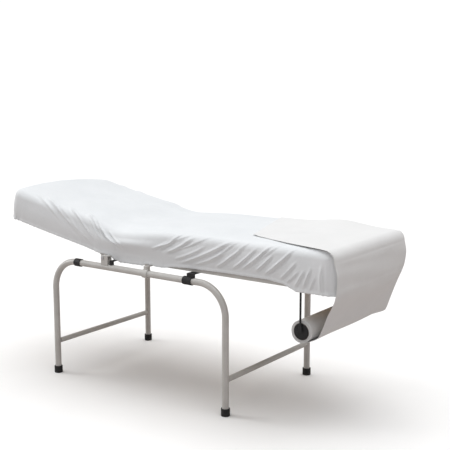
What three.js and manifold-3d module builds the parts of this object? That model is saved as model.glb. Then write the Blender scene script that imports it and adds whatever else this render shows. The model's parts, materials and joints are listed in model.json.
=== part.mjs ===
// Examination couch with a tilting backrest, a fitted cover and a paper roll hung under its foot end.
// Millimetres, +Z up, +X towards the foot end. The hinge axis of the backrest is the line x = 0 while
// the couch is being built; at the end the couch is shifted so that the origin lies on the floor
// under the middle of its length.
import * as THREE from 'three';
import { mergeVertices } from 'three/addons/utils/BufferGeometryUtils.js';
import Module from 'manifold-3d';

const wasm = await Module();
wasm.setup();

// ---------------------------------------------------------------- driving dimensions
const TOP_HEIGHT = 780; // floor to the lying surface of the flat section
const COUCH_WIDTH = 650; // over the fitted cover
const SEAT_LENGTH = 1215; // hinge axis to the foot end, over the cover
const BACK_LENGTH = 655; // hinge axis to the head end, over the cover
const BACK_TILT = 10; // degrees above flat, as the couch stands
const BACK_HIGHEST = 55; // degrees above flat at the top of the ratchet

const FIT_GAP = 0.3; // between pieces that touch
const COVER_THICKNESS = 2;
const EDGE_RADIUS = 40; // rounded upper edge of the dressed mattress
const CORNER_RADIUS = 55; // rounded corners seen from above
const PAD_THICKNESS = 108;
const BOARD_THICKNESS = 18;
const BOARD_INSET = 7; // the boards end inside the cover
const COVER_SKIRT = 153; // lying surface down to the hem
const HINGE_NOTCH = 75; // half the length of the raised hem beside the hinge
const HINGE_NOTCH_TOP = 130; // lying surface down to the raised hem

const SEAT_TUBE_HEIGHT = 40;
const BACK_TUBE_HEIGHT = 20;
const TUBE_WIDTH = 20;
const TUBE_WALL = 1.5;
const FRAME_INSET = 9; // outer face of the side tubes inside the cover
const HINGE_CROSS_TUBE_X = 74; // from the hinge axis
const MIDDLE_CROSS_TUBE_X = 348;

const RAIL_RADIUS = 15;
const RAIL_WALL = 2;
const RAIL_GAP = 20; // top of the rail to the underside of the seat frame
const RAIL_OUTSET = 19; // centre of the rail outside the cover
const HOOP_HEAD_X = -325; // centre lines of the legs
const HOOP_FOOT_X = 699;
const HOOP_BEND = 140;
const LEG_TIE_RADIUS = 12.5;
const LEG_TIE_HEIGHT = 160;

const FOOT_RADIUS = 20;
const FOOT_HEIGHT = 34;
const FOOT_SOLE = 8;

const HEAD_SLEEVE_LENGTH = 38; // starts where the rail's head bend ends
const FOOT_SADDLE_X = 499;
const FOOT_SADDLE_LENGTH = 48;
const FOOT_SADDLE_TAB = 36;
const SADDLE_TAB_SHIFT = 14; // the tab sits further towards the foot than its sleeve
const SADDLE_WALL = 4;
const MIDDLE_SUPPORT_X = 256;
const MIDDLE_SUPPORT_LENGTH = 30;
const MIDDLE_SUPPORT_TAB = 16;
const SUPPORT_WALL = 5;
const BUFFER_X = 47;
const BUFFER_LENGTH = 16;
const TAB_PLATE = 5; // thickness of the plate under the side tube

const PIVOT_ABOVE_SEAT_FRAME = 10;
const PIVOT_RADIUS = 5;
const PIN_CLEARANCE = 0.3;
const PIN_HEAD = 3;
const PIN_HEAD_RADIUS = 8;
const BRACKET_START = -10; // its head end, from the hinge axis
const BRACKET_LENGTH = 40;
const BRACKET_WIDTH = 30;
const BRACKET_WALL = 4;
const BRACKET_RISE = 10; // above the hinge axis
const LUG_THICKNESS = 5;
const LUG_RADIUS = 12;
const LUG_LENGTH = 60;
const LUG_END = 14; // height of the lug's far end, on the side tube
const PAD_BEVEL_SHARE = 0.4; // part of the backrest's travel that the seat pad's slanted end takes
const BACK_TUBE_START = 22; // the backrest's side tubes begin this far from the hinge axis
const HINGE_CLEARANCE = 2; // between the swinging tube ends and the seat's side tubes
const HINGE_GAP = 6; // each slanted pad end stands this far from the hinge axis

const LEVER_RADIUS = 66; // hinge axis down to the ratchet bar
const LEVER_THICKNESS = 6;
const LEVER_WIDTH = 26;
const RATCHET_PIN_RADIUS = 4;
const RATCHET_SLOT_WIDTH = 12.4;
const RATCHET_SLOT_LENGTH = 24;
const BAR_WIDTH = 16;
const BAR_HEIGHT = 12;
const BAR_LENGTH = 260;
const BAR_TEETH = 8;
const BAR_TOOTH_PITCH = 9;
const SLEEVE_WALL = 3;
const SLEEVE_CLEARANCE = 0.4;
const SLEEVE_START = 105; // from the hinge axis
const SLEEVE_LENGTH = 235;
const HANGER_LENGTH = 24;
const HANGER_WIDTH = 34;

const ROLL_FROM_END = 163; // roll axis to the foot end of the seat
const ROLL_BELOW_TOP = 352.5;
const ROLL_RADIUS = 47.5;
const ROLL_INSET = 22; // on each side, so the paper is narrower than the couch
const CORE_RADIUS = 36;
const CORE_BORE_RADIUS = 33.5;
const HUB_DEPTH = 18;
const HUB_TIP_RADIUS = 23;
const HUB_LIP = 3; // the part of the hub outside the core
const ARM_RADIUS = 4.5;
const ARM_EYE_RADIUS = 5;
const ARM_MOUNT_HEIGHT = 16;
const ARM_MOUNT_LENGTH = 44;

const PAPER_THICKNESS = 1;
const PAPER_ON_TOP = 545; // length of the paper that lies on the couch
const PAPER_BELOW_HEM = 8; // the paper leaves the end face this far under the hem

// ---------------------------------------------------------------- derived sizes
const RAD = Math.PI / 180;
const HALF_WIDTH = COUCH_WIDTH / 2;
const PAD_TOP = TOP_HEIGHT - COVER_THICKNESS - FIT_GAP;
const PAD_BOTTOM = PAD_TOP - PAD_THICKNESS;
const BOARD_TOP = PAD_BOTTOM - FIT_GAP;
const BOARD_BOTTOM = BOARD_TOP - BOARD_THICKNESS;
const SEAT_FRAME_TOP = BOARD_BOTTOM - FIT_GAP;
const SEAT_FRAME_BOTTOM = SEAT_FRAME_TOP - SEAT_TUBE_HEIGHT;
const RAIL_Z = SEAT_FRAME_BOTTOM - RAIL_GAP - RAIL_RADIUS;
const RAIL_Y = HALF_WIDTH + RAIL_OUTSET;
const PIVOT_Z = SEAT_FRAME_BOTTOM + PIVOT_ABOVE_SEAT_FRAME;
const FRAME_Y = HALF_WIDTH - FRAME_INSET; // outer faces of the side tubes
const FRAME_INNER_Y = FRAME_Y - TUBE_WIDTH;
const BOARD_HALF_WIDTH = HALF_WIDTH - BOARD_INSET;
const SEAT_BEVEL = (BACK_HIGHEST + 1) * PAD_BEVEL_SHARE * RAD;
const BACK_BEVEL = (BACK_HIGHEST + 1) * (1 - PAD_BEVEL_SHARE) * RAD;
const BAR_Z = PIVOT_Z - LEVER_RADIUS;
const LEVER_REST = (BACK_HIGHEST / 2 - BACK_TILT) * RAD; // lever from the vertical, towards the foot
const RATCHET_PIN_X = LEVER_RADIUS * Math.tan(LEVER_REST);
const ROLL_X = SEAT_LENGTH - ROLL_FROM_END;
const ROLL_Z = TOP_HEIGHT - ROLL_BELOW_TOP;
const ROLL_WIDTH = COUCH_WIDTH - ROLL_INSET * 2;
const ARM_Y = ROLL_WIDTH / 2 + HUB_LIP + FIT_GAP + ARM_RADIUS;
const ARM_TOP = SEAT_FRAME_BOTTOM - BRACKET_WALL - ARM_EYE_RADIUS - 1;
const FAR = 3000; // larger than the couch, for cutting blocks

// ---------------------------------------------------------------- materials
const material = (color, roughness, metalness = 0) =>
  new THREE.MeshStandardMaterial({ color, roughness, metalness });
const PAINTED_STEEL = material(0xbab6ad, 0.42, 0.15);
const ZINC_STEEL = material(0x9b9da0, 0.35, 0.9);
const BLACK_PLASTIC = material(0x17181a, 0.45);
const BLACK_RUBBER = material(0x1d1d1e, 0.85);
const BLACK_STEEL = material(0x1b1c1e, 0.4, 0.4);
const PLYWOOD = material(0xb58f62, 0.7);
const UPHOLSTERY = material(0x8f9296, 0.6);
const COVER_FABRIC = material(0xe9edf1, 0.85);
const TISSUE = material(0xe4e1dd, 0.9);
const CARDBOARD = material(0x8d7a66, 0.9);

// ---------------------------------------------------------------- solids
const couch = new THREE.Group();
const backrest = new THREE.Group(); // local frame: hinge axis at its origin, flat along -X
backrest.position.set(0, 0, PIVOT_Z);
backrest.rotation.y = BACK_TILT * RAD;
couch.add(backrest);

function addMesh(group, name, geometry, meshMaterial) {
  const mesh = new THREE.Mesh(geometry, meshMaterial);
  mesh.name = name;
  group.add(mesh);
}

function toSolid(geometry) {
  const bare = geometry.index ? geometry.toNonIndexed() : geometry.clone();
  bare.deleteAttribute('normal');
  bare.deleteAttribute('uv');
  const merged = mergeVertices(bare, 1e-3);
  return new wasm.Manifold(new wasm.Mesh({
    numProp: 3,
    vertProperties: new Float32Array(merged.attributes.position.array),
    triVerts: new Uint32Array(merged.index.array),
  }));
}

function toGeometry(solid) {
  const mesh = solid.getMesh();
  const geometry = new THREE.BufferGeometry();
  geometry.setAttribute('position', new THREE.BufferAttribute(mesh.vertProperties, 3));
  geometry.setIndex(new THREE.BufferAttribute(mesh.triVerts, 1));
  geometry.computeVertexNormals();
  return geometry;
}

// Two places across the couch on one side of it, lowest first.
const span = (sign, inner, outer) => [sign * inner, sign * outer].sort((a, b) => a - b);

// A block between two corners.
function block(low, high) {
  const size = high.map((value, i) => value - low[i]);
  return new THREE.BoxGeometry(...size)
    .translate(...low.map((value, i) => value + size[i] / 2));
}

// A round bar along an axis between two places on it, centred on the other two coordinates.
function roundBar(axis, radius, from, to, centre, sides = 24) {
  const geometry = new THREE.CylinderGeometry(radius, radius, to - from, sides);
  if (axis === 'x') geometry.rotateZ(Math.PI / 2);
  if (axis === 'z') geometry.rotateX(Math.PI / 2);
  const middle = (from + to) / 2;
  const place = { x: [middle, ...centre], y: [centre[0], middle, centre[1]], z: [...centre, middle] };
  return geometry.translate(...place[axis]);
}

// A side outline, drawn in X and Z, extruded across the couch between two Y places.
function acrossY(shape, fromY, toY) {
  return new THREE.ExtrudeGeometry(shape, { depth: toY - fromY, bevelEnabled: false, curveSegments: 16 })
    .rotateX(Math.PI / 2)
    .translate(0, toY, 0);
}

// A rectangular hollow tube with open ends, along X or Y.
function hollowTube(axis, from, to, middle, bottom, width, height) {
  const outline = new THREE.Shape([
    new THREE.Vector2(-width / 2, 0), new THREE.Vector2(width / 2, 0),
    new THREE.Vector2(width / 2, height), new THREE.Vector2(-width / 2, height)]);
  const inside = width / 2 - TUBE_WALL;
  outline.holes.push(new THREE.Path([
    new THREE.Vector2(-inside, TUBE_WALL), new THREE.Vector2(inside, TUBE_WALL),
    new THREE.Vector2(inside, height - TUBE_WALL), new THREE.Vector2(-inside, height - TUBE_WALL)]));
  const geometry = new THREE.ExtrudeGeometry(outline, { depth: to - from, bevelEnabled: false })
    .rotateX(Math.PI / 2);
  if (axis === 'y') return geometry.translate(middle, to, bottom);
  return geometry.rotateZ(Math.PI / 2).translate(from, middle, bottom);
}

// The dressed mattress seen from above: square at the hinge, round corners at the far end.
function mattressPlan(length, inset) {
  const end = length - inset;
  const side = HALF_WIDTH - inset;
  const corner = CORNER_RADIUS - inset;
  const plan = new THREE.Shape();
  plan.moveTo(-EDGE_RADIUS * 3, -side);
  plan.lineTo(end - corner, -side);
  plan.absarc(end - corner, -side + corner, corner, -Math.PI / 2, 0);
  plan.lineTo(end, side - corner);
  plan.absarc(end - corner, side - corner, corner, 0, Math.PI / 2);
  plan.lineTo(-EDGE_RADIUS * 3, side);
  return plan;
}

// A slab with a rounded upper edge, cut flat below. It runs along +X and past the hinge.
function mattressSlab(length, inset, bottom, top) {
  const edge = EDGE_RADIUS - inset;
  const slab = new THREE.ExtrudeGeometry(mattressPlan(length, inset), {
    depth: top - bottom,
    bevelThickness: edge, bevelSize: edge, bevelOffset: -edge, bevelSegments: 5, curveSegments: 6,
  }).translate(0, 0, bottom - edge);
  return toSolid(slab).subtract(toSolid(block([-FAR, -FAR, bottom - FAR], [FAR, FAR, bottom])));
}

// All that lies on the hinge side of a pad's slanted end: above the hinge it leans by the bevel.
function hingeSide(bevel, pivotZ) {
  return toSolid(block([-FAR, -FAR, -FAR], [0, FAR, FAR])
    .rotateY(bevel)
    .translate(HINGE_GAP, 0, pivotZ));
}

// ---------------------------------------------------------------- mattress sections
// Each section is built as a seat; the backrest's is turned round to run towards the head.
function mattressSection(group, name, length, top, pivotZ, bevel, turned) {
  const drop = TOP_HEIGHT - top; // the section's own frame against the couch's
  const toGroup = (solid) => {
    const geometry = toGeometry(solid.subtract(hingeSide(bevel, pivotZ)));
    return turned ? geometry.rotateZ(Math.PI) : geometry;
  };
  const padInset = COVER_THICKNESS + FIT_GAP;
  const pad = mattressSlab(length, padInset, PAD_BOTTOM - drop, PAD_TOP - drop);
  addMesh(group, `${name}_pad`, toGroup(pad), UPHOLSTERY);

  const boardEnd = length - BOARD_INSET;
  const board = toSolid(block([-FAR / 10, -BOARD_HALF_WIDTH, BOARD_BOTTOM - drop],
    [boardEnd, BOARD_HALF_WIDTH, BOARD_TOP - drop]));
  const roundEnd = mattressSlab(length, BOARD_INSET - FIT_GAP, BOARD_BOTTOM - drop - FIT_GAP, top);
  addMesh(group, `${name}_board`, toGroup(board.intersect(roundEnd)), PLYWOOD);

  const hem = top - COVER_SKIRT;
  const shell = mattressSlab(length, 0, hem, top)
    .subtract(mattressSlab(length, COVER_THICKNESS, hem - 1, top - COVER_THICKNESS))
    .subtract(toSolid(block([-FAR, -FAR, -FAR], [HINGE_NOTCH, FAR, top - HINGE_NOTCH_TOP])));
  addMesh(group, `${name}_cover`, toGroup(shell), COVER_FABRIC);
}

mattressSection(couch, 'seat', SEAT_LENGTH, TOP_HEIGHT, PIVOT_Z, SEAT_BEVEL, false);
mattressSection(backrest, 'backrest', BACK_LENGTH, TOP_HEIGHT - PIVOT_Z, 0, BACK_BEVEL, true);

// ---------------------------------------------------------------- seat frame
const SIDES = [['near', -1], ['far', 1]];
const SIDE_TUBE_Y = FRAME_Y - TUBE_WIDTH / 2;
const BACK_FRAME_TOP = SEAT_FRAME_TOP - PIVOT_Z;
const SEAT_TUBE_START = Math.hypot(BACK_TUBE_START, BACK_FRAME_TOP) + HINGE_CLEARANCE;
const SEAT_TUBE_END = SEAT_LENGTH - BOARD_INSET - CORNER_RADIUS / 2;
const SEAT_CROSS_X = {
  hinge: HINGE_CROSS_TUBE_X, middle: MIDDLE_CROSS_TUBE_X, foot: SEAT_TUBE_END - TUBE_WIDTH };

for (const [side, sign] of SIDES) {
  addMesh(couch, `seat_side_tube_${side}`, hollowTube('x', SEAT_TUBE_START, SEAT_TUBE_END,
    sign * SIDE_TUBE_Y, SEAT_FRAME_BOTTOM, TUBE_WIDTH, SEAT_TUBE_HEIGHT), PAINTED_STEEL);
}
for (const [place, x] of Object.entries(SEAT_CROSS_X)) {
  const reach = FRAME_INNER_Y - FIT_GAP;
  addMesh(couch, `seat_cross_tube_${place}`, hollowTube('y', -reach, reach, x,
    SEAT_FRAME_BOTTOM, TUBE_WIDTH, SEAT_TUBE_HEIGHT), PAINTED_STEEL);
}

// ---------------------------------------------------------------- backrest frame
const BACK_FRAME_BOTTOM = BACK_FRAME_TOP - BACK_TUBE_HEIGHT;
const BACK_TUBE_END = BACK_LENGTH - BOARD_INSET - CORNER_RADIUS / 2;
const BACK_CROSS_X = { hinge: -BACK_TUBE_START - TUBE_WIDTH, head: TUBE_WIDTH - BACK_TUBE_END };

for (const [side, sign] of SIDES) {
  addMesh(backrest, `backrest_side_tube_${side}`, hollowTube('x', -BACK_TUBE_END, -BACK_TUBE_START,
    sign * SIDE_TUBE_Y, BACK_FRAME_BOTTOM, TUBE_WIDTH, BACK_TUBE_HEIGHT), PAINTED_STEEL);

  // A flat lug on the outside of the side tube carries the hinge pin.
  const lug = new THREE.Shape();
  lug.absarc(0, 0, LUG_RADIUS, -Math.PI / 2, Math.PI / 2);
  lug.lineTo(-LUG_LENGTH, BACK_FRAME_BOTTOM + LUG_END);
  lug.lineTo(-LUG_LENGTH, BACK_FRAME_BOTTOM);
  lug.lineTo(-LUG_LENGTH / 2, -LUG_RADIUS);
  const bore = new THREE.Path();
  bore.absarc(0, 0, PIVOT_RADIUS + PIN_CLEARANCE, 0, Math.PI * 2, true);
  lug.holes.push(bore);
  const lugSpan = span(sign, FRAME_Y + FIT_GAP, FRAME_Y + FIT_GAP + LUG_THICKNESS);
  addMesh(backrest, `hinge_lug_${side}`, acrossY(lug, ...lugSpan), PAINTED_STEEL);
}
for (const [place, x] of Object.entries(BACK_CROSS_X)) {
  const reach = FRAME_INNER_Y - FIT_GAP;
  addMesh(backrest, `backrest_cross_tube_${place}`, hollowTube('y', -reach, reach, x,
    BACK_FRAME_BOTTOM, TUBE_WIDTH, BACK_TUBE_HEIGHT), PAINTED_STEEL);
}

// ---------------------------------------------------------------- side hoops, ties and feet
function hoop(y) {
  const bendStart = RAIL_Z - HOOP_BEND;
  const legEnd = FOOT_SOLE + FIT_GAP;
  const corner = (x, z, start, end) => {
    const arc = new THREE.EllipseCurve(x, z, HOOP_BEND, HOOP_BEND, start, end, true);
    return new THREE.CatmullRomCurve3(arc.getPoints(12).map((p) => new THREE.Vector3(p.x, y, p.y)));
  };
  const path = new THREE.CurvePath();
  path.add(new THREE.LineCurve3(new THREE.Vector3(HOOP_HEAD_X, y, legEnd),
    new THREE.Vector3(HOOP_HEAD_X, y, bendStart)));
  path.add(corner(HOOP_HEAD_X + HOOP_BEND, bendStart, Math.PI, Math.PI / 2));
  path.add(new THREE.LineCurve3(new THREE.Vector3(HOOP_HEAD_X + HOOP_BEND, y, RAIL_Z),
    new THREE.Vector3(HOOP_FOOT_X - HOOP_BEND, y, RAIL_Z)));
  path.add(corner(HOOP_FOOT_X - HOOP_BEND, bendStart, Math.PI / 2, 0));
  path.add(new THREE.LineCurve3(new THREE.Vector3(HOOP_FOOT_X, y, bendStart),
    new THREE.Vector3(HOOP_FOOT_X, y, legEnd)));
  const ring = new THREE.Shape();
  ring.absarc(0, 0, RAIL_RADIUS, 0, Math.PI * 2);
  const bore = new THREE.Path();
  bore.absarc(0, 0, RAIL_RADIUS - RAIL_WALL, 0, Math.PI * 2, true);
  ring.holes.push(bore);
  return new THREE.ExtrudeGeometry(ring, { steps: 70, curveSegments: 6, extrudePath: path });
}

// Cuts a slightly larger round bar out of what sits on the rail.
function clearOfRail(solid, y) {
  const rail = roundBar('x', RAIL_RADIUS + FIT_GAP, -FAR, FAR, [y, RAIL_Z], 32);
  return toGeometry(solid.subtract(toSolid(rail)));
}

const LEGS = [['head', HOOP_HEAD_X], ['foot', HOOP_FOOT_X]];
for (const [side, sign] of SIDES) {
  const railY = sign * RAIL_Y;
  addMesh(couch, `side_hoop_${side}`, hoop(railY), PAINTED_STEEL);

  for (const [place, x] of LEGS) {
    const socket = RAIL_RADIUS + FIT_GAP;
    const cup = new THREE.LatheGeometry([
      new THREE.Vector2(0, 0), new THREE.Vector2(FOOT_RADIUS, 0),
      new THREE.Vector2(FOOT_RADIUS, FOOT_HEIGHT), new THREE.Vector2(socket, FOOT_HEIGHT),
      new THREE.Vector2(socket, FOOT_SOLE), new THREE.Vector2(0, FOOT_SOLE)], 24).rotateX(Math.PI / 2);
    addMesh(couch, `foot_cap_${place}_${side}`, cup.translate(x, railY, 0), BLACK_RUBBER);
  }

  // Plastic sleeve near the head end of the rail.
  const sleeveX = HOOP_HEAD_X + HOOP_BEND + FIT_GAP;
  const sleeve = roundBar('x', RAIL_RADIUS + SADDLE_WALL, sleeveX, sleeveX + HEAD_SLEEVE_LENGTH,
    [railY, RAIL_Z]);
  addMesh(couch, `rail_sleeve_${side}`, clearOfRail(toSolid(sleeve), railY), BLACK_PLASTIC);

  // Pieces that carry the seat frame on the rail: a post on the rail with a plate in under the side tube.
  const tabTop = SEAT_FRAME_BOTTOM - FIT_GAP;
  const tab = (x, length) => {
    const box = (inner, bottom) => {
      const [low, high] = span(sign, inner, RAIL_Y + RAIL_RADIUS / 2);
      return toSolid(block([x - length / 2, low, bottom], [x + length / 2, high, tabTop]));
    };
    const post = box(RAIL_Y - RAIL_RADIUS / 2, RAIL_Z + RAIL_RADIUS / 2);
    return post.add(box(FRAME_INNER_Y, tabTop - TAB_PLATE));
  };
  const collar = (x, length, wall) =>
    toSolid(roundBar('x', RAIL_RADIUS + wall, x - length / 2, x + length / 2, [railY, RAIL_Z]));
  const carriers = [
    ['foot_saddle', BLACK_PLASTIC, collar(FOOT_SADDLE_X, FOOT_SADDLE_LENGTH, SADDLE_WALL)
      .add(tab(FOOT_SADDLE_X + SADDLE_TAB_SHIFT, FOOT_SADDLE_TAB))],
    ['middle_support', PAINTED_STEEL, collar(MIDDLE_SUPPORT_X, MIDDLE_SUPPORT_LENGTH, SUPPORT_WALL)
      .add(tab(MIDDLE_SUPPORT_X, MIDDLE_SUPPORT_TAB))],
    ['rail_buffer', BLACK_RUBBER, tab(BUFFER_X, BUFFER_LENGTH)],
  ];
  for (const [name, finish, solid] of carriers) {
    addMesh(couch, `${name}_${side}`, clearOfRail(solid, railY), finish);
  }
}
for (const [place, x] of LEGS) {
  const reach = RAIL_Y - RAIL_RADIUS - FIT_GAP;
  addMesh(couch, `leg_tie_${place}`,
    roundBar('y', LEG_TIE_RADIUS, -reach, reach, [x, LEG_TIE_HEIGHT]), PAINTED_STEEL);
}

// ---------------------------------------------------------------- hinge brackets and pins
const BRACKET_INNER_Y = HALF_WIDTH + 1;
const BRACKET_TOP = PIVOT_Z + BRACKET_RISE;
const BRACKET_OUTER_Y = BRACKET_INNER_Y + BRACKET_WIDTH;
for (const [side, sign] of SIDES) {
  const [low, high] = span(sign, BRACKET_INNER_Y, BRACKET_OUTER_Y);
  const hollowBottom = RAIL_Z + RAIL_RADIUS + BRACKET_WALL;
  const channel = toSolid(block([BRACKET_START, low, RAIL_Z + RAIL_RADIUS / 2],
    [BRACKET_START + BRACKET_LENGTH, high, BRACKET_TOP]))
    .subtract(toSolid(block([-FAR, low + BRACKET_WALL, hollowBottom],
      [FAR, high - BRACKET_WALL, BRACKET_TOP - BRACKET_WALL])))
    .subtract(toSolid(roundBar('y', PIVOT_RADIUS + PIN_CLEARANCE, -FAR, FAR, [0, PIVOT_Z])));
  addMesh(couch, `hinge_bracket_${side}`, clearOfRail(channel, sign * RAIL_Y), PAINTED_STEEL);

  const headY = BRACKET_OUTER_Y + FIT_GAP;
  const shank = roundBar('y', PIVOT_RADIUS, ...span(sign, FRAME_Y + FIT_GAP, headY), [0, PIVOT_Z]);
  const head = roundBar('y', PIN_HEAD_RADIUS, ...span(sign, headY, headY + PIN_HEAD), [0, PIVOT_Z]);
  addMesh(couch, `hinge_pin_${side}`, toGeometry(toSolid(shank).add(toSolid(head))), ZINC_STEEL);
}

// ---------------------------------------------------------------- ratchet strut under the hinge
// The lever hangs from the backrest's cross tube. A radial slot in its tip drives the bar's pin.
const leverReach = Math.hypot(LEVER_RADIUS, RATCHET_PIN_X) + LEVER_WIDTH * 0.75;
const leverTilt = LEVER_REST + BACK_TILT * RAD; // from the backrest's own vertical
const leverPlate = toSolid(block([-LEVER_WIDTH / 2, -LEVER_THICKNESS / 2, -leverReach],
  [LEVER_WIDTH / 2, LEVER_THICKNESS / 2, BACK_FRAME_BOTTOM - FIT_GAP]).rotateY(-leverTilt));
const leverArm = toSolid(block([BACK_CROSS_X.hinge - TUBE_WIDTH / 2, -LEVER_THICKNESS / 2, -LEVER_WIDTH],
  [LEVER_WIDTH / 3, LEVER_THICKNESS / 2, BACK_FRAME_BOTTOM - FIT_GAP]));
const slotMiddle = Math.hypot(LEVER_RADIUS, RATCHET_PIN_X);
const slot = toSolid(block([-RATCHET_SLOT_WIDTH / 2, -FAR, -slotMiddle - RATCHET_SLOT_LENGTH / 2],
  [RATCHET_SLOT_WIDTH / 2, FAR, -slotMiddle + RATCHET_SLOT_LENGTH / 2]).rotateY(-leverTilt));
const lever = leverPlate.add(leverArm).subtract(slot)
  .subtract(toSolid(block([-FAR, -FAR, BACK_FRAME_BOTTOM - FIT_GAP], [FAR, FAR, FAR])));
addMesh(backrest, 'ratchet_lever', toGeometry(lever), PAINTED_STEEL);

// The toothed bar straddles the lever with a fork and carries the pin between its two cheeks.
const forkGap = LEVER_THICKNESS + 2;
const forkReach = LEVER_WIDTH;
const pinBore = roundBar('y', RATCHET_PIN_RADIUS + FIT_GAP, -FAR, FAR, [RATCHET_PIN_X, BAR_Z]);
let toothedBar = toSolid(block(
  [RATCHET_PIN_X - BAR_HEIGHT / 2, -BAR_WIDTH / 2, BAR_Z - BAR_HEIGHT / 2],
  [RATCHET_PIN_X + BAR_LENGTH, BAR_WIDTH / 2, BAR_Z + BAR_HEIGHT / 2]))
  .subtract(toSolid(block([-FAR, -forkGap / 2, -FAR], [RATCHET_PIN_X + forkReach, forkGap / 2, FAR])))
  .subtract(toSolid(pinBore));
for (let i = 0; i < BAR_TEETH; i += 1) {
  const x = RATCHET_PIN_X + BAR_LENGTH - BAR_TOOTH_PITCH * (i + 2);
  const notch = new THREE.Shape([new THREE.Vector2(x, BAR_Z - BAR_HEIGHT / 2 - 1),
    new THREE.Vector2(x + BAR_TOOTH_PITCH * 0.7, BAR_Z - BAR_HEIGHT / 2 - 1),
    new THREE.Vector2(x, BAR_Z - BAR_HEIGHT / 4)]);
  toothedBar = toothedBar.subtract(toSolid(acrossY(notch, -BAR_WIDTH, BAR_WIDTH)));
}
addMesh(couch, 'ratchet_bar', toGeometry(toothedBar), ZINC_STEEL);
const pinAt = [RATCHET_PIN_X, BAR_Z];
const pinReach = BAR_WIDTH / 2 + 1;
let ratchetPin = toSolid(roundBar('y', RATCHET_PIN_RADIUS, -pinReach, pinReach, pinAt));
for (const sign of [-1, 1]) {
  const cap = span(sign, BAR_WIDTH / 2 + FIT_GAP, BAR_WIDTH / 2 + PIN_HEAD);
  ratchetPin = ratchetPin.add(toSolid(roundBar('y', RATCHET_PIN_RADIUS * 1.6, ...cap, pinAt)));
}
addMesh(couch, 'ratchet_pin', toGeometry(ratchetPin), ZINC_STEEL);

const sleeveInside = [BAR_WIDTH / 2 + SLEEVE_CLEARANCE, BAR_HEIGHT / 2 + SLEEVE_CLEARANCE];
const sleeveEnd = SLEEVE_START + SLEEVE_LENGTH;
const sleeveBody = toSolid(block(
  [SLEEVE_START, -sleeveInside[0] - SLEEVE_WALL, BAR_Z - sleeveInside[1] - SLEEVE_WALL],
  [sleeveEnd, sleeveInside[0] + SLEEVE_WALL, BAR_Z + sleeveInside[1] + SLEEVE_WALL]))
  .subtract(toSolid(block([-FAR, -sleeveInside[0], BAR_Z - sleeveInside[1]],
    [FAR, sleeveInside[0], BAR_Z + sleeveInside[1]])));
addMesh(couch, 'ratchet_sleeve', toGeometry(sleeveBody), BLACK_STEEL);

// Two hangers hold the sleeve under the seat frame's cross tubes.
const hangerX = { hinge: SLEEVE_START + HANGER_LENGTH / 2 + 2, middle: SEAT_CROSS_X.middle - HANGER_LENGTH };
const hangerTop = SEAT_FRAME_BOTTOM - FIT_GAP;
const hangerBottom = BAR_Z - sleeveInside[1] - SLEEVE_WALL * 2;
for (const [place, x] of Object.entries(hangerX)) {
  const [from, to] = [x, SEAT_CROSS_X[place]].sort((a, b) => a - b);
  const plate = toSolid(block([from - HANGER_LENGTH / 2, -HANGER_WIDTH / 2, hangerTop - BRACKET_WALL],
    [to + TUBE_WIDTH / 2, HANGER_WIDTH / 2, hangerTop]));
  const ring = toSolid(block([x - HANGER_LENGTH / 2, -HANGER_WIDTH / 2, hangerBottom],
    [x + HANGER_LENGTH / 2, HANGER_WIDTH / 2, hangerTop]));
  const [halfWidth, halfHeight] = sleeveInside.map((inside) => inside + SLEEVE_WALL + FIT_GAP);
  const hole = toSolid(block([-FAR, -halfWidth, BAR_Z - halfHeight], [FAR, halfWidth, BAR_Z + halfHeight]));
  addMesh(couch, `ratchet_hanger_${place}`, toGeometry(plate.add(ring).subtract(hole)), PAINTED_STEEL);
}

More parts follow.
